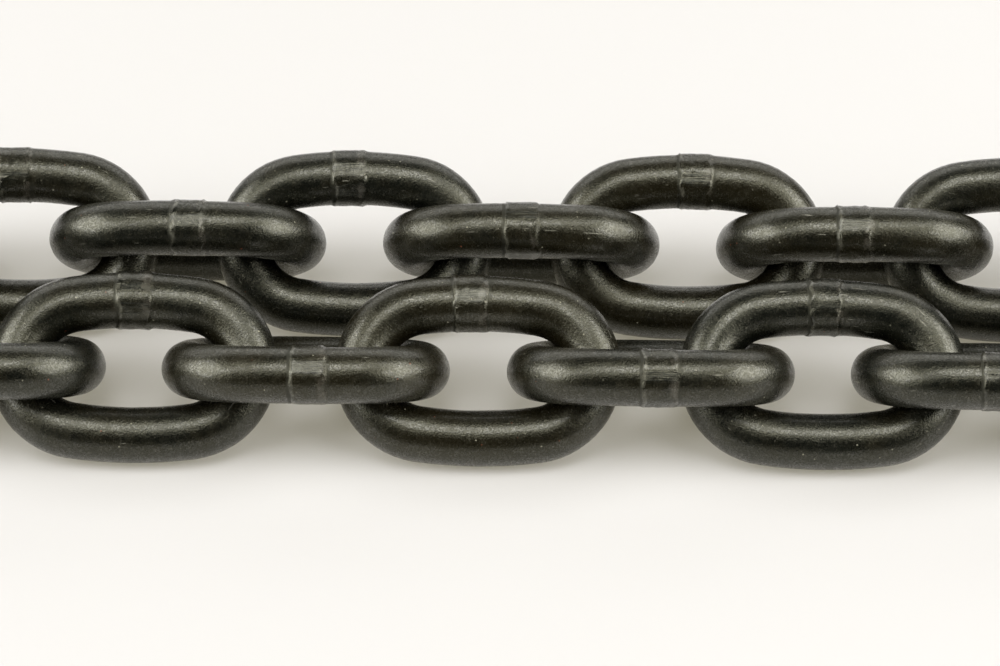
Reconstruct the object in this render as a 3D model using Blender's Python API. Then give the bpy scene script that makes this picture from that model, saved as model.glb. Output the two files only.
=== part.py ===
"""Two lengths of round steel short link lifting chain, lying side by side.

Units are metres and +Z is up. The chains run along X and lie on the plane
z = 0. The origin is under the middle of the heap.
"""
import math

import bmesh
import bpy
from mathutils import Vector

# Chain of 16 mm nominal size with 48 mm pitch
WIRE = 0.0154          # bar diameter as measured on finished links
PITCH = 0.0491         # inner length of one link
OUTER_WIDTH = 0.0530   # across both legs
LINKS = 20             # links in one length, about one metre
FRONT_PLAY = 0.0018    # lengthwise play at each hooked pair of links
BACK_PLAY = 0.0015

# Swelling left by the butt weld, about the middle of each link's upper leg
WELD_WIDTH = 0.0092
WELD_HEIGHT = 0.0005
WELD_SHOULDER = 0.0012
WELD_DRIFT = 0.0025    # a weld sits up to this far from the leg's middle

# How the two lengths lie
LENGTH_SPACING = 0.0504   # between the centre lines of the two lengths
LENGTH_SHIFT = 0.0115     # the back length lies this much further along +X

# Roll of the links, in degrees above the floor. Every second link of a
# length rises to the back, the ones between rise to the front.
FRONT_ROLLS = {"to_back": 37.5, "to_front": 37.5}
BACK_ROLLS = {"to_back": 49.5, "to_front": 51.5}
ROLL_PLAY = 0.2           # links differ from each other by up to this much

# Facets of the swept bar
SIDES = 12
BEND_STEPS = 7

HALF_BAR = WIRE / 2
LEG_OFFSET = (OUTER_WIDTH - WIRE) / 2
HALF_LEG = (PITCH + WIRE) / 2 - LEG_OFFSET


def clear_scene():
    for obj in list(bpy.data.objects):
        bpy.data.objects.remove(obj, do_unlink=True)
    for mesh in list(bpy.data.meshes):
        bpy.data.meshes.remove(mesh)


def make_material(name, colour, roughness, metallic):
    material = bpy.data.materials.new(name)
    material.use_nodes = True
    shader = material.node_tree.nodes["Principled BSDF"]
    shader.inputs["Base Color"].default_value = (*colour, 1.0)
    shader.inputs["Roughness"].default_value = roughness
    shader.inputs["Metallic"].default_value = metallic
    material.diffuse_color = (*colour, 1.0)
    return material


def bar_section(bm, turn):
    """Ring of the bar's section at the left end of the +Y leg.

    The link is turned about X by this angle later, which brings the -Y leg
    down. One facet of that leg then faces straight down, so the link rests
    on a flat. The ring's flats, not its corners, lie on the true radius.
    """
    corner_radius = HALF_BAR / math.cos(math.pi / SIDES)
    down = math.atan2(-math.cos(turn), math.sin(turn))
    ring = []
    for i in range(SIDES):
        angle = down + math.pi / SIDES + 2 * math.pi * i / SIDES
        ring.append(bm.verts.new((
            -HALF_LEG,
            LEG_OFFSET + corner_radius * math.cos(angle),
            corner_radius * math.sin(angle),
        )))
    edges = []
    for i in range(SIDES):
        edges.append(bm.edges.new((ring[i], ring[(i + 1) % SIDES])))
    return edges


def draw_leg(bm, edges, step, growth=0.0):
    """Extrude the section straight along a leg, thicker by growth."""
    result = bmesh.ops.extrude_edge_only(bm, edges=edges)
    verts = [g for g in result["geom"] if isinstance(g, bmesh.types.BMVert)]
    bmesh.ops.translate(bm, verts=verts, vec=(step, 0, 0))
    if growth:
        middle = sum((v.co for v in verts), Vector()) / len(verts)
        radius = (verts[0].co - middle).length
        for vert in verts:
            vert.co = middle + (vert.co - middle) * (radius + growth) / radius
    return [g for g in result["geom"] if isinstance(g, bmesh.types.BMEdge)
            and all(v in verts for v in g.verts)]


def bend_bar(bm, edges, centre_x):
    """Spin the section half a turn round the end of the link."""
    result = bmesh.ops.spin(
        bm, geom=edges, cent=(centre_x, 0, 0), axis=(0, 0, 1),
        angle=-math.pi, steps=BEND_STEPS)
    return [g for g in result["geom_last"] if isinstance(g, bmesh.types.BMEdge)]


def link_mesh(name, turn, weld_x, material):
    """One closed link, long axis on X, flat in the XY plane."""
    bm = bmesh.new()
    edges = bar_section(bm, turn)
    edges = draw_leg(bm, edges, HALF_LEG + weld_x - WELD_WIDTH / 2)
    edges = draw_leg(bm, edges, WELD_SHOULDER, WELD_HEIGHT)
    edges = draw_leg(bm, edges, WELD_WIDTH - 2 * WELD_SHOULDER)
    edges = draw_leg(bm, edges, WELD_SHOULDER, -WELD_HEIGHT)
    edges = draw_leg(bm, edges, HALF_LEG - weld_x - WELD_WIDTH / 2)
    edges = bend_bar(bm, edges, HALF_LEG)
    edges = draw_leg(bm, edges, -2 * HALF_LEG)
    bend_bar(bm, edges, -HALF_LEG)
    bmesh.ops.remove_doubles(bm, verts=bm.verts, dist=0.00001)
    bmesh.ops.recalc_face_normals(bm, faces=bm.faces)
    mesh = bpy.data.meshes.new(name)
    bm.to_mesh(mesh)
    bm.free()
    mesh.materials.append(material)
    mesh.shade_smooth()
    mesh.set_sharp_from_angle(angle=math.radians(40))
    return mesh


def place_link(name, centre_x, centre_y, roll, rises_back, weld_x, material):
    """Lay one link on the floor, its welded leg uppermost."""
    turn = roll if rises_back else math.pi - roll
    link = bpy.data.objects.new(name, link_mesh(name, turn, weld_x, material))
    height = HALF_BAR + LEG_OFFSET * math.sin(roll)
    link.location = (centre_x, centre_y, height)
    link.rotation_euler = (turn, 0, 0)
    bpy.context.scene.collection.objects.link(link)
    return link


def lay_length(prefix, centre_x, centre_y, play, rolls, first_rises_back, phase,
               material):
    spacing = PITCH - play
    first_x = centre_x - spacing * (LINKS - 1) / 2
    for i in range(LINKS):
        rises_back = (i % 2 == 0) == first_rises_back
        roll = rolls["to_back"] if rises_back else rolls["to_front"]
        roll += ROLL_PLAY * math.sin(1.9 * i + phase)
        place_link(
            f"{prefix}_link_{i + 1:02d}", first_x + spacing * i,
            centre_y, math.radians(roll), rises_back,
            WELD_DRIFT * math.sin(2.3 * i + phase), material)


def centre_heap():
    """Move the links so that the heap's middle is over the origin."""
    bpy.context.view_layer.update()
    for axis in (0, 1):
        reach = []
        for obj in bpy.data.objects:
            reach += [(obj.matrix_world @ v.co)[axis] for v in obj.data.vertices]
        middle = (min(reach) + max(reach)) / 2
        for obj in bpy.data.objects:
            obj.location[axis] -= middle


def build():
    clear_scene()
    steel = make_material("blackened_steel", (0.035, 0.033, 0.028), 0.42, 0.6)
    lay_length("front", -LENGTH_SHIFT / 2, -LENGTH_SPACING / 2,
               FRONT_PLAY, FRONT_ROLLS, True, 0.4, steel)
    lay_length("back", LENGTH_SHIFT / 2, LENGTH_SPACING / 2,
               BACK_PLAY, BACK_ROLLS, False, 2.1, steel)
    centre_heap()


build()
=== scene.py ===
import math

import bpy
from mathutils import Matrix, Vector


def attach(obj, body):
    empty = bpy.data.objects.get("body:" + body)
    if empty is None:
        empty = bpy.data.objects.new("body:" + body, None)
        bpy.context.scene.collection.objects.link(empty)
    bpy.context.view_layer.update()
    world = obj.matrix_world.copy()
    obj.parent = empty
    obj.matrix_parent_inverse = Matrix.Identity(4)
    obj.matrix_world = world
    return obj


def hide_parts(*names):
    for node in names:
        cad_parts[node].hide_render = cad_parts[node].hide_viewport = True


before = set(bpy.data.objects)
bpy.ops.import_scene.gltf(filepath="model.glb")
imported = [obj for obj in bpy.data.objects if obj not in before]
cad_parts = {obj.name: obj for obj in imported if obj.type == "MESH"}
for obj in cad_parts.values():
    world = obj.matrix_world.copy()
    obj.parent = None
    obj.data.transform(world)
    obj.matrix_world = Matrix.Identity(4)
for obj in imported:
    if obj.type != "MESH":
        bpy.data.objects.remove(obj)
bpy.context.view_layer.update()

# The chain's driving sizes, in metres, as in its solids
BAR = 0.0154
PITCH = 0.0491
OUTER_WIDTH = 0.0530
LINKS = 20
BAR_RADIUS = BAR / 2
LEG_OFFSET = (OUTER_WIDTH - BAR) / 2

# A little short of the solid's crown, which leaves room for the lumps of the bar
CROWN_REACH = (PITCH + BAR) / 2 - 0.0004

# How each length lies: rolls of its links in degrees, the side its first link rises
# to, the start of its small variations, its first weld and the links laid before it
LENGTHS = {
    "front": {"to_back": 37.5, "to_front": 37.5, "first_rises_back": True,
              "phase": 0.4, "first_weld": 0, "laid_before": 0},
    "back": {"to_back": 49.5, "to_front": 51.5, "first_rises_back": False,
             "phase": 2.1, "first_weld": 2, "laid_before": LINKS},
}

# Small variations from link to link: roll in degrees, shift of the weld in metres,
# and how fast these and the tone change along a length, in radians a link
ROLL_PLAY = 0.2
WELD_DRIFT = 0.0025
ROLL_RATE = 1.9
DRIFT_RATE = 2.3
TONE_RATE = 5.1

# The next link takes the weld that comes this many places later in the list, and
# its scratches are read this far along the pattern, in metres
WELD_STRIDE = 3
PATTERN_SHIFT = 0.1

# How near the floor a point of a link is that stands on it
FLOOR_TOUCH = 0.00001

# A bent link is a little oval: its legs bow by this angle before the crowns begin
BOW = math.radians(8.0)
BOW_GROWTH = 1.0 + math.tan(BOW) - 1.0 / math.cos(BOW)
BOW_GAIN = LEG_OFFSET * (math.tan(BOW) - 1.0 / math.cos(BOW))
LEG_RADIUS = (CROWN_REACH + BOW_GAIN) / BOW_GROWTH
CROWN_RADIUS = LEG_RADIUS - (LEG_RADIUS - LEG_OFFSET) / math.cos(BOW)
CROWN_CENTRE = CROWN_REACH - CROWN_RADIUS
CROWN_TURN = math.pi - 2 * BOW
LEG_CENTRE = LEG_OFFSET - LEG_RADIUS
LEG_RUN = LEG_RADIUS * BOW
HALF_RUN = 2 * LEG_RUN + CROWN_RADIUS * CROWN_TURN

# Fineness of the swept bar: rings are closest where it is welded, and the plain bar
# on either side has rings at these shares of the bowed leg
SECTION_POINTS = 56
CROWN_STEPS = 26
LEG_STEPS = 8
PLAIN_RINGS = (0.56, 0.78, 1.0)
WELD_REACH = 0.0056
WELD_STEP = 0.0004
WELD_MARGIN = 0.001
SEAM_MERGE = 0.00002

# Welds: height over the bar in millimetres at distances from the middle of the
# weld, and the sides that the trimming tool flattened: the angle round the bar in
# degrees and how far the flat stands over the bar in millimetres
WELDS = [
    {"profile": [(-5.0, 0.0), (-4.5, 0.02), (-4.3, 0.10), (-4.1, 0.50), (-3.8, 0.46),
                 (-3.5, 0.20), (-2.6, 0.34), (0.0, 0.36), (2.4, 0.38), (3.4, 0.42),
                 (4.0, 0.30), (4.8, 0.06), (5.3, 0.0)],
     "flats": [(-14, 0.06), (84, 0.08), (196, 0.18), (288, 0.10)]},
    {"profile": [(-5.4, 0.0), (-4.6, 0.10), (-4.0, 0.38), (-3.4, 0.40), (-2.8, 0.26),
                 (-0.8, 0.24), (1.6, 0.26), (2.6, 0.30), (3.0, 0.50), (3.3, 0.48),
                 (3.7, 0.18), (4.2, 0.05), (5.0, 0.0)],
     "flats": [(-4, 0.03), (98, 0.05), (170, 0.08), (262, 0.12)]},
    {"profile": [(-5.0, 0.0), (-4.4, 0.04), (-4.1, 0.22), (-3.9, 0.48), (-3.6, 0.34),
                 (-3.3, 0.28), (-1.2, 0.30), (0.4, 0.33), (2.0, 0.36), (3.3, 0.40),
                 (3.8, 0.47), (4.1, 0.40), (4.5, 0.10), (5.1, 0.0)],
     "flats": [(-22, 0.10), (78, 0.02), (150, 0.14), (240, 0.04)]},
    {"profile": [(-5.2, 0.0), (-4.7, 0.08), (-4.3, 0.40), (-4.0, 0.48), (-3.6, 0.30),
                 (-1.4, 0.20), (0.6, 0.24), (2.4, 0.22), (3.2, 0.26), (3.5, 0.45),
                 (3.8, 0.30), (4.3, 0.04), (5.2, 0.0)],
     "flats": [(-10, 0.02), (90, 0.10), (210, 0.05), (300, 0.16)]},
    {"profile": [(-5.3, 0.0), (-4.5, 0.05), (-4.2, 0.42), (-3.9, 0.36), (-3.2, 0.28),
                 (-1.0, 0.33), (1.0, 0.30), (2.6, 0.40), (3.6, 0.48), (4.1, 0.44),
                 (4.6, 0.14), (5.3, 0.0)],
     "flats": [(-18, 0.12), (70, 0.06), (120, 0.05), (250, 0.10)]},
]

# The trimming tool: how far along the bar and round it (in radians) it cuts, the
# share of the standing metal it takes, and the depth that leaves a full scrape
TRIM_REACH = 0.0046
TRIM_TURN = 0.8
TRIM_SHARE = 0.9
FAINT_SCRAPE = 0.25
FULL_SCRAPE_DEPTH = 0.00018

# Relief: name, size and strength of its lumps in metres, their direction, and
# whether they stay on the weld, where they fade out towards its ends. Lumps of the
# weld rise as much as they sink, and those of the bar sink a little more.
RELIEF = (
    ("weld_edge", 0.0045, 0.0024, "X", True),
    ("weld_metal", 0.0016, 0.00030, "NORMAL", True),
    ("bent_bar", 0.0100, 0.00022, "NORMAL", False),
    ("scaled_bar", 0.0028, 0.00007, "NORMAL", False),
)
RELIEF_SPREAD = 0.11
RELIEF_REACH = 0.0058
RELIEF_FADE = 0.0012
EVEN_LEVEL = 0.5
SUNKEN_LEVEL = 0.62

# Colours of the finish
OLIVE_BLACK = (0.0012, 0.0016, 0.0012)
BROWN_BLACK = (0.0054, 0.0041, 0.0014)
BARE_FLECK = (0.120, 0.112, 0.084)
DUST = (0.26, 0.25, 0.19)
RUST = (0.17, 0.045, 0.022)
WORN = (0.038, 0.036, 0.026)
SCRAPED = (0.066, 0.071, 0.066)
# pale colours of the weld's burrs: partly bare metal, partly a painted highlight on the fins
WIDE_BURR_HIGHLIGHT = (0.120, 0.108, 0.088)
FINE_BURR_HIGHLIGHT = (0.150, 0.146, 0.115)
# near black painted shade for the grooves beside the weld
GROOVE_SHADE = (0.0015, 0.0015, 0.0012)
SCRATCH = (0.16, 0.155, 0.13)

# Floor: the glow of the board near the chain and out where it runs past the lights
FLOOR_SIZE = 8.0
NEAR_GLOW = (0.288, 0.267, 0.201)
FAR_GLOW = (1.0, 0.97, 0.90)

# Camera, where the photograph was taken from: place in metres, how far it looks
# down, turns left and leans in degrees, and its focal length in the photograph's pixels
CAMERA_PLACE = (0.0228, -0.6583, 0.5939)
CAMERA_DOWN = 41.472
CAMERA_LEFT = 0.0436
CAMERA_LEAN = 0.5368
FOCAL_PIXELS = 3118.7
PICTURE_WIDTH = 1000
SENSOR_WIDTH = 36.0

# Flat lights that face the chain: place, width, height, watts and colour
FLAT_LIGHTS = {
    "soft_box": ((0.15, -0.27, 1.25), 2.6, 0.50, 12.5, (1.0, 0.985, 0.93)),
    "white_wall": ((-0.1, 1.5, 0.90), 3.2, 1.1, 17.0, (1.0, 0.985, 0.95)),
    "left_wall": ((-1.18, -0.24, 0.72), 1.3, 1.0, 26.5, (1.0, 0.985, 0.94)),
    "right_wall": ((1.18, -0.24, 0.74), 1.3, 1.0, 27.0, (1.0, 0.985, 0.94)),
}

# Lamps of the room, high over everything: how wide they seem and how far they lean
# towards the camera, in degrees
LAMPS_ENERGY = 0.8
LAMPS_WIDTH = 25.0
LAMPS_LEAN = 13.0
LAMPS_COLOUR = (1.0, 0.985, 0.94)


def deselect_all():
    bpy.ops.object.select_all(action="DESELECT")


def standing_strip(node):
    """Middle of the flat strip that a CAD link stands on."""
    touching = [v.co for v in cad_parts[node].data.vertices if v.co.z < FLOOR_TOUCH]
    along = [co.x for co in touching]
    across = [co.y for co in touching]
    return (min(along) + max(along)) / 2, (min(across) + max(across)) / 2


def rise_at(profile, run):
    """Height of the weld over the bar, in metres, at a distance from its middle."""
    along = run * 1000
    for (from_x, from_h), (to_x, to_h) in zip(profile, profile[1:]):
        if from_x <= along <= to_x:
            share = (along - from_x) / (to_x - from_x)
            return (from_h + (to_h - from_h) * share) / 1000
    return 0.0


def leg_place(run):
    """Middle of the bar on the welded leg."""
    return (LEG_RADIUS * math.sin(run / LEG_RADIUS),
            LEG_CENTRE + LEG_RADIUS * math.cos(run / LEG_RADIUS), 0.0)


def sweep(steps, angle, centre_x, centre_y):
    """Carry the selected section round a centre in the link's own plane."""
    bpy.ops.mesh.spin(steps=steps, angle=angle,
                      center=(centre_x, centre_y, 0.0), axis=(0.0, 0.0, 1.0))


def draw_welded_leg(profile):
    """Carry the selected section along the bowed leg, swelling it at the weld."""
    weld_steps = round(2 * WELD_REACH / WELD_STEP)
    plain = [WELD_REACH + WELD_MARGIN] + [LEG_RUN * share for share in PLAIN_RINGS]
    stops = [-run for run in reversed(plain)]
    stops += [-WELD_REACH + WELD_STEP * step for step in range(weld_steps + 1)]
    stops += plain
    radius = BAR_RADIUS
    for run, next_run in zip(stops, stops[1:]):
        sweep(1, (next_run - run) / LEG_RADIUS, 0.0, LEG_CENTRE)
        next_radius = BAR_RADIUS + rise_at(profile, next_run)
        factor = next_radius / radius
        if abs(factor - 1.0) > 1e-6:
            bpy.ops.transform.resize(value=(factor, factor, factor),
                                     center_override=leg_place(next_run))
        radius = next_radius


def forge_link(number, profile):
    """Bend and weld one link, flat in XY with its weld on the +Y leg."""
    deselect_all()
    bpy.ops.mesh.primitive_circle_add(
        vertices=SECTION_POINTS, radius=BAR_RADIUS, fill_type="NOTHING",
        location=leg_place(-LEG_RUN), rotation=(0.0, math.pi / 2, BOW))
    link = bpy.context.object
    link.name = f"forged_link_{number}"
    bpy.ops.object.transform_apply(location=True, rotation=True, scale=True)
    bpy.ops.object.mode_set(mode="EDIT")
    bpy.ops.mesh.select_all(action="SELECT")
    draw_welded_leg(profile)
    sweep(CROWN_STEPS, CROWN_TURN, CROWN_CENTRE, 0.0)
    sweep(LEG_STEPS, 2 * BOW, 0.0, -LEG_CENTRE)
    sweep(CROWN_STEPS, CROWN_TURN, -CROWN_CENTRE, 0.0)
    bpy.ops.mesh.select_all(action="SELECT")
    bpy.ops.mesh.remove_doubles(threshold=SEAM_MERGE)
    bpy.ops.mesh.normals_make_consistent(inside=False)
    bpy.ops.object.mode_set(mode="OBJECT")
    return link


def bar_place(co):
    """Where a point is on the bar: run from mid weld, outward and upward offset."""
    side = math.copysign(1.0, co.x)
    leg_y = abs(co.y) - LEG_CENTRE
    leg_turn = math.atan2(abs(co.x), leg_y)
    if leg_turn <= BOW:
        out = math.hypot(co.x, leg_y) - LEG_RADIUS
        run = LEG_RADIUS * leg_turn
        return side * (run if co.y > 0 else HALF_RUN - run), out, co.z
    crown_x = abs(co.x) - CROWN_CENTRE
    turn = math.atan2(crown_x, co.y)
    out = math.hypot(crown_x, co.y) - CROWN_RADIUS
    return side * (LEG_RUN + CROWN_RADIUS * (turn - BOW)), out, co.z


def trim_point(vert, run, out, up, flats):
    """Pull a point of the weld down to the flats it stands over, and say how scraped."""
    mark = 0.0
    radius = math.hypot(out, up)
    around = math.atan2(up, out)
    for angle, stand in flats:
        off = around - math.radians(angle)
        off = math.atan2(math.sin(off), math.cos(off))
        if abs(off) > TRIM_TURN:
            continue
        flat = (BAR_RADIUS + stand / 1000) / math.cos(off)
        if radius > flat:
            standing = (vert.co - Vector(leg_place(run))) * (1.0 - flat / radius)
            vert.co -= standing * TRIM_SHARE
            mark = min(1.0, FAINT_SCRAPE + (radius - flat) / FULL_SCRAPE_DEPTH)
    return mark


def trim_weld(link, flats):
    """Flatten the weld metal where the trimming tool passed, and mark it."""
    scraped = []
    weld_run = []
    for vert in link.data.vertices:
        run, out, up = bar_place(vert.co)
        on_weld = abs(run) < TRIM_REACH and vert.co.y > 0
        scraped.append(trim_point(vert, run, out, up, flats) if on_weld else 0.0)
        weld_run.append(run)
    for name, values in (("scraped", scraped), ("weld_run", weld_run)):
        attribute = link.data.attributes.new(name, "FLOAT", "POINT")
        attribute.data.foreach_set("value", values)


def roughen(link, number):
    """Uneven weld metal and the faint lumps of bar that was bent hot."""
    weld = link.vertex_groups.new(name="weld")
    for vert in link.data.vertices:
        if vert.co.y > 0 and abs(vert.co.x) < RELIEF_REACH:
            fade = min(1.0, (RELIEF_REACH - abs(vert.co.x)) / RELIEF_FADE)
            weld.add([vert.index], fade, "REPLACE")
    for name, size, strength, direction, on_weld in RELIEF:
        texture = bpy.data.textures.new(f"{name}_{number}", "CLOUDS")
        texture.noise_scale = size * (1.0 + RELIEF_SPREAD * number)
        texture.noise_depth = 2
        lumps = link.modifiers.new(name, "DISPLACE")
        lumps.texture = texture
        lumps.texture_coords = "LOCAL"
        lumps.direction = direction
        lumps.strength = strength
        lumps.mid_level = EVEN_LEVEL if on_weld else SUNKEN_LEVEL
        lumps.vertex_group = weld.name if on_weld else ""
        bpy.ops.object.modifier_apply(modifier=lumps.name)


def slide_weld(mesh, drift):
    """Shift the weld along its leg, by less and less towards the crowns."""
    hub = Vector((0.0, LEG_CENTRE, 0.0))
    for vert in mesh.vertices:
        run = bar_place(vert.co)[0]
        if vert.co.y > 0 and abs(run) < LEG_RUN:
            slack = 1.0 - (run / LEG_RUN) ** 2
            slide = Matrix.Rotation(-drift * slack / LEG_RADIUS, 4, "Z")
            vert.co = slide @ (vert.co - hub) + hub


def lay_link(master, name, node, centre, turn, drift, count, tone, finish):
    """Copy a master link, slide its weld, and lay it in the chain."""
    mesh = master.data.copy()
    mesh.name = name
    places = []
    for vert in mesh.vertices:
        run, out, up = bar_place(vert.co)
        places.extend((run, out, up + PATTERN_SHIFT * count))
    on_bar = mesh.attributes.new("on_bar", "FLOAT_VECTOR", "POINT")
    on_bar.data.foreach_set("vector", places)
    link_tone = mesh.attributes.new("link_tone", "FLOAT", "POINT")
    link_tone.data.foreach_set("value", [tone] * len(mesh.vertices))
    slide_weld(mesh, drift)
    mesh.transform(Matrix.Translation(centre) @ Matrix.Rotation(turn, 4, "X"))
    mesh.materials.clear()
    mesh.materials.append(finish)
    link = bpy.data.objects.new(name, mesh)
    bpy.context.collection.objects.link(link)
    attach(link, "root")
    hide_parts(node)


def lay_length(prefix, length, masters, finish):
    """Lay the links of one length, each standing where its CAD link stands."""
    phase = length["phase"]
    for i in range(LINKS):
        rises_back = (i % 2 == 0) == length["first_rises_back"]
        roll = length["to_back"] if rises_back else length["to_front"]
        roll = math.radians(roll + ROLL_PLAY * math.sin(ROLL_RATE * i + phase))
        lean = LEG_OFFSET * math.cos(roll)
        node = f"{prefix}_link_{i + 1:02d}"
        strip_x, strip_y = standing_strip(node)
        lay_link(
            master=masters[(i * WELD_STRIDE + length["first_weld"]) % len(masters)],
            name=f"{prefix}_forged_{i + 1:02d}",
            node=node,
            centre=Vector((strip_x, strip_y + (lean if rises_back else -lean),
                           BAR_RADIUS + LEG_OFFSET * math.sin(roll))),
            turn=roll if rises_back else math.pi - roll,
            drift=WELD_DRIFT * math.sin(DRIFT_RATE * i + phase),
            count=i + length["laid_before"],
            tone=0.5 + 0.5 * math.sin(TONE_RATE * i + phase),
            finish=finish)


class Shade:
    """One number socket of a finish: arithmetic on it adds Math nodes."""

    def __init__(self, finish, socket):
        self.finish = finish
        self.socket = socket

    def __add__(self, other):
        return self.finish.math("ADD", self, other)

    def __radd__(self, other):
        return self.finish.math("ADD", other, self)

    def __sub__(self, other):
        return self.finish.math("SUBTRACT", self, other)

    def __rsub__(self, other):
        return self.finish.math("SUBTRACT", other, self)

    def __mul__(self, other):
        return self.finish.math("MULTIPLY", self, other)

    def __rmul__(self, other):
        return self.finish.math("MULTIPLY", other, self)


class Finish:
    """A material being mixed, node by node. Noise and cell scales are per metre."""

    def __init__(self, name):
        self.material = bpy.data.materials.new(name)
        self.material.use_nodes = True
        self.tree = self.material.node_tree
        self.shader = self.tree.nodes["Principled BSDF"]

    def node(self, kind, settings=None, sockets=None):
        """Add a node, set it up, then fill or link its sockets."""
        node = self.tree.nodes.new(kind)
        for key, value in (settings or {}).items():
            setattr(node, key, value)
        for key, value in (sockets or {}).items():
            self.feed(node.inputs[key], value)
        return node

    def feed(self, socket, value):
        """Link a socket to a shade, or set it to a number or a colour."""
        if isinstance(value, Shade):
            self.tree.links.new(value.socket, socket)
        elif isinstance(value, bpy.types.NodeSocket):
            self.tree.links.new(value, socket)
        elif isinstance(value, tuple) and socket.type == "RGBA":
            socket.default_value = (*value, 1.0)
        else:
            socket.default_value = value

    def math(self, operation, first, second=0.0):
        node = self.node("ShaderNodeMath", {"operation": operation}, {0: first, 1: second})
        return Shade(self, node.outputs[0])

    def place(self):
        node = self.node("ShaderNodeTexCoord")
        return Shade(self, node.outputs["Object"])

    def distance(self, place):
        """How far a place is from the origin."""
        node = self.node("ShaderNodeVectorMath", {"operation": "LENGTH"}, {0: place})
        return Shade(self, node.outputs["Value"])

    def band(self, value, low, high):
        """0 to 1 as a value goes from low to high, smoothly."""
        node = self.node("ShaderNodeMapRange", {"interpolation_type": "SMOOTHSTEP"},
                         {"Value": value, "From Min": low, "From Max": high})
        return Shade(self, node.outputs[0])

    def mix(self, factor, first, second):
        node = self.node("ShaderNodeMix", {"data_type": "RGBA"},
                         {0: factor, 6: first, 7: second})
        return node.outputs[2]

    def noise(self, place, scale, detail=2.0, roughness=0.5):
        node = self.node("ShaderNodeTexNoise", {}, {
            "Vector": place, "Scale": scale, "Detail": detail, "Roughness": roughness})
        return Shade(self, node.outputs["Fac"])

    def cells(self, place, scale):
        """Distance to the nearest cell's middle, and two draws for that cell."""
        node = self.node("ShaderNodeTexVoronoi", {}, {"Vector": place, "Scale": scale})
        draws = self.node("ShaderNodeSeparateColor", {}, {"Color": node.outputs["Color"]})
        return (Shade(self, node.outputs["Distance"]), Shade(self, draws.outputs[0]),
                Shade(self, draws.outputs[1]))

    def attribute(self, name, output="Fac"):
        node = self.node("ShaderNodeAttribute", {"attribute_name": name})
        return Shade(self, node.outputs[output])

    def stretched(self, place, scale, turn=0.0):
        node = self.node("ShaderNodeMapping", {}, {
            "Vector": place, "Scale": scale, "Rotation": (turn, turn * 0.6, turn * 1.4)})
        return Shade(self, node.outputs["Vector"])


def dust_specks(finish, place):
    """Mask and colour of dust specks, some of them rusty."""
    from_middle, draw, hue = finish.cells(place, 620.0)
    dust = finish.band(from_middle, 0.19, 0.06) * finish.band(draw, 0.90, 1.0)
    return dust, finish.mix(finish.band(hue, 0.82, 0.84), DUST, RUST)


def weld_marks(finish, place, run):
    """Masks of a weld's fine near burr and wide far burr, whose pale colour is partly a painted
    highlight, and of the grooves beside them, which get painted shade.
    """
    fray = finish.noise(place, 900.0, 3.0, 0.7)
    seam = finish.band(finish.noise(place, 280.0, 2.0, 0.6), 0.42, 0.60)
    deep = finish.band(finish.noise(place, 150.0, 1.0, 0.5), 0.38, 0.62)
    fine = (finish.band(run + fray * 0.0006, -0.0042, -0.0039)
            * finish.band(run, -0.0032, -0.0037))
    wide = (finish.band(run + fray * 0.0030, 0.0036, 0.0046)
            * finish.band(run, 0.0052, 0.0044) * seam)
    burr = (fine + wide * 0.7) * fray
    wavy_run = run + fray * 0.0008
    near_groove = (finish.band(wavy_run, -0.0050, -0.0045)
                   * finish.band(wavy_run, -0.0035, -0.0041))
    far_groove = (finish.band(wavy_run, 0.0050, 0.0054)
                  * finish.band(wavy_run, 0.0064, 0.0059))
    # the grooves: painted shade in their colour, and their bump, roughness and coat
    groove_and_shade = near_groove * (0.25 + deep * 0.50) + far_groove * seam * 0.40
    return fine * fray * seam, wide * fray, burr, groove_and_shade


def scratches(finish, on_bar, turn, along):
    """Short scratches that cross the bar at one slant."""
    drawn = finish.noise(finish.stretched(on_bar, (along, 1500.0, 1500.0), turn), 1.0, 1.0, 0.4)
    where = finish.noise(on_bar, 70.0, 1.0, 0.5)
    return finish.band(drawn, 0.73, 0.78) * finish.band(where, 0.52, 0.60)


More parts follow.
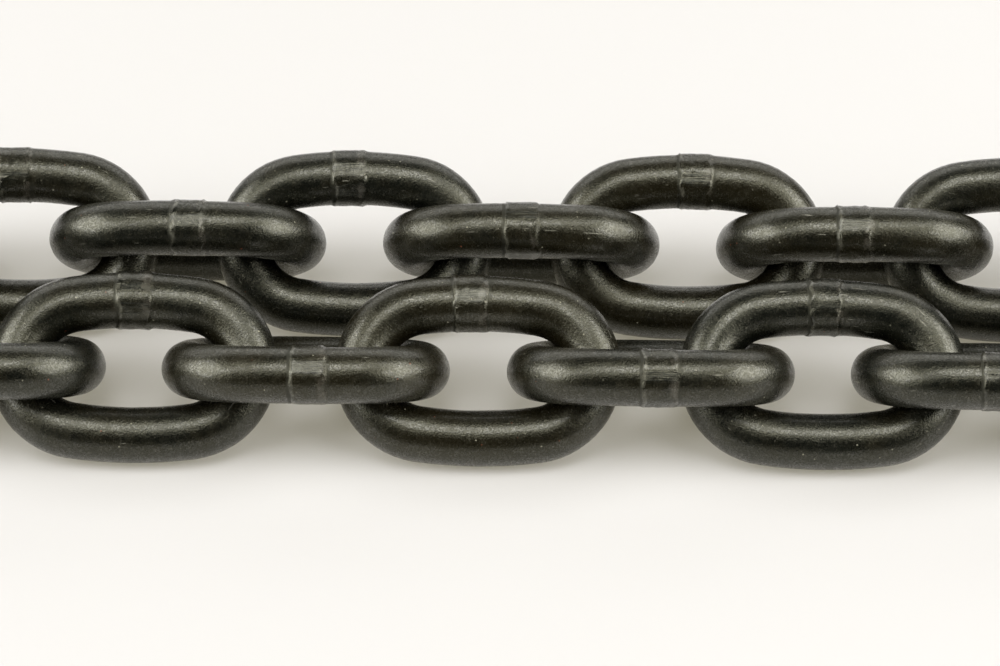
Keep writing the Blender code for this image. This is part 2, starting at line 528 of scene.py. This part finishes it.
def blackened_steel():
    """Satin black quenched and tempered steel, faintly olive, dusty and scuffed."""
    finish = Finish("blackened_steel_satin")
    place = finish.place()
    on_bar = finish.attribute("on_bar", "Vector")
    run = finish.attribute("weld_run")
    tone = finish.attribute("link_tone")
    cut = finish.attribute("scraped")

    # near black, with a brown cast that comes and goes
    cloud = finish.noise(place, 85.0, 3.0, 0.6)
    patch = finish.noise(place, 420.0, 4.0, 0.7)
    brown = finish.band(cloud * 0.6 + patch * 0.3 + tone * 0.22, 0.36, 0.76)
    colour = finish.mix(brown, OLIVE_BLACK, BROWN_BLACK)

    # grain of the scale: flecks where bare steel glints through
    fleck = finish.noise(place, 1750.0, 2.0, 0.8)
    bare = finish.band(fleck, 0.635, 0.72)
    colour = finish.mix(bare, colour, BARE_FLECK)

    dust, dust_colour = dust_specks(finish, place)
    colour = finish.mix(dust, colour, dust_colour)

    # worn sheen in soft patches
    rubbed = finish.band(finish.noise(place, 210.0, 3.0, 0.7), 0.56, 0.72)
    colour = finish.mix(rubbed * 0.18, colour, WORN)

    # weld: scraped flats; pale burrs along its edges, their colour partly bare metal and partly
    # a painted highlight on the fins; and dark grooves beside them, darkened with painted shade
    lines = finish.noise(finish.stretched(on_bar, (90.0, 2400.0, 2400.0)), 1.0, 2.0, 0.6)
    scraped = finish.band(lines, 0.40, 0.62) * cut
    colour = finish.mix(scraped * (0.10 + tone * 0.32), colour, SCRAPED)
    fine_burr_highlight, wide_burr_highlight, burr, groove_and_shade = weld_marks(finish, place, run)
    colour = finish.mix(wide_burr_highlight * 0.36, colour, WIDE_BURR_HIGHLIGHT)
    colour = finish.mix(fine_burr_highlight * 0.50, colour, FINE_BURR_HIGHLIGHT)
    colour = finish.mix(groove_and_shade, colour, GROOVE_SHADE)

    # scratches two ways, none where the run along the bar ends on the far leg
    before_end = finish.band(finish.math("ABSOLUTE", run), 0.070, 0.055)
    scratched = (scratches(finish, on_bar, 0.5, 130.0)
                 + scratches(finish, on_bar, -0.7, 170.0)) * before_end
    colour = finish.mix(scratched * 0.7, colour, SCRATCH)

    # sheen: brighter points in clumps, dull where it is cut, grooved or dusty
    clumps = finish.band(finish.noise(place, 300.0, 2.0, 0.6), 0.30, 0.66)
    glint = finish.band(fleck, 0.44, 0.60) * (0.35 + clumps * 0.65) * (1.0 - cut * 0.6)
    roughness = (0.30 - glint * 0.11 + (patch - 0.5) * 0.30 + groove_and_shade * 0.35 - burr * 0.20
                 - rubbed * 0.05 - cut * 0.08 - scraped * 0.06 + dust * 0.3)
    shader = finish.shader
    finish.feed(shader.inputs["Base Color"], colour)
    finish.feed(shader.inputs["Roughness"], roughness)
    finish.feed(shader.inputs["Metallic"], bare * 0.85)
    shader.inputs["IOR"].default_value = 1.5
    shader.inputs["Specular Tint"].default_value = (0.99, 0.98, 0.75, 1.0)
    finish.feed(shader.inputs["Coat Weight"],
                (0.14 + glint * 0.60 + burr * 0.6) * (1.0 - groove_and_shade))
    shader.inputs["Coat Roughness"].default_value = 0.20

    # fine relief, from the smallest grain to the soft unevenness of the scale
    grit = finish.noise(place, 520.0, 2.0, 0.5)
    swell = finish.noise(place, 190.0, 2.0, 0.5)
    height = (fleck * 1.3 + grit * 0.7 + swell * 1.3
              + lines * cut * 1.1 - scratched * 0.7 + dust * 0.3 - groove_and_shade * 1.1)
    bump = finish.node("ShaderNodeBump", {}, {
        "Strength": 0.34, "Distance": 0.00032, "Height": height})
    finish.feed(shader.inputs["Normal"], bump.outputs["Normal"])
    return finish.material


def white_board():
    """Matt white board that glows faintly, and more where it runs past the lights."""
    finish = Finish("white_board")
    past_lights = finish.band(finish.distance(finish.place()), 0.6, 1.5)
    glow = finish.mix(past_lights, NEAR_GLOW, FAR_GLOW)
    finish.shader.inputs["Base Color"].default_value = (0.362, 0.362, 0.386, 1.0)
    finish.shader.inputs["Roughness"].default_value = 0.75
    finish.feed(finish.shader.inputs["Emission Color"], glow)
    finish.shader.inputs["Emission Strength"].default_value = 0.80
    return finish.material


def lay_floor():
    deselect_all()
    bpy.ops.mesh.primitive_plane_add(size=FLOOR_SIZE, location=(0.0, 0.0, 0.0))
    floor = bpy.context.object
    floor.name = "white_floor"
    floor.data.materials.append(white_board())


def place_camera():
    data = bpy.data.cameras.new("photo_camera")
    data.sensor_fit = "HORIZONTAL"
    data.sensor_width = SENSOR_WIDTH
    data.lens = FOCAL_PIXELS / PICTURE_WIDTH * SENSOR_WIDTH
    data.clip_start = 0.01
    camera = bpy.data.objects.new("photo_camera", data)
    bpy.context.collection.objects.link(camera)
    left = Matrix.Rotation(math.radians(CAMERA_LEFT), 4, "Z")
    down = Matrix.Rotation(math.radians(90.0 - CAMERA_DOWN), 4, "X")
    lean = Matrix.Rotation(math.radians(CAMERA_LEAN), 4, "Z")
    camera.matrix_world = Matrix.Translation(CAMERA_PLACE) @ left @ down @ lean
    bpy.context.scene.camera = camera


def hang_flat_light(name, place, width, height, watts, colour):
    """A flat white light that faces the chain."""
    light = bpy.data.lights.new(name, "AREA")
    light.shape = "RECTANGLE"
    light.size = width
    light.size_y = height
    light.energy = watts
    light.color = colour
    hung = bpy.data.objects.new(name, light)
    bpy.context.collection.objects.link(hung)
    hung.location = place
    hung.rotation_euler = (-hung.location).to_track_quat("-Z", "Y").to_euler()


def hang_room_lamps():
    lamps = bpy.data.lights.new("room_lamps", "SUN")
    lamps.energy = LAMPS_ENERGY
    lamps.angle = math.radians(LAMPS_WIDTH)
    lamps.color = LAMPS_COLOUR
    hung = bpy.data.objects.new("room_lamps", lamps)
    bpy.context.collection.objects.link(hung)
    hung.rotation_euler = (math.radians(LAMPS_LEAN), 0.0, 0.0)


def paint_room():
    """The dim room that surrounds the lights."""
    world = bpy.data.worlds.new("white_room")
    bpy.context.scene.world = world
    world.use_nodes = True
    walls = world.node_tree.nodes["Background"]
    walls.inputs["Color"].default_value = (0.88, 1.0, 0.90, 1.0)
    walls.inputs["Strength"].default_value = 0.015


# One master link for each weld
masters = []
for number, weld in enumerate(WELDS):
    master = forge_link(number, weld["profile"])
    trim_weld(master, weld["flats"])
    roughen(master, number)
    bpy.ops.object.shade_smooth()
    masters.append(master)

# The chain
steel = blackened_steel()
for prefix, length in LENGTHS.items():
    lay_length(prefix, length, masters, steel)
for master in masters:
    bpy.data.objects.remove(master, do_unlink=True)

# The stage
lay_floor()
place_camera()
for name, light in FLAT_LIGHTS.items():
    hang_flat_light(name, *light)
hang_room_lamps()
paint_room()
bpy.context.scene.view_settings.view_transform = "Standard"
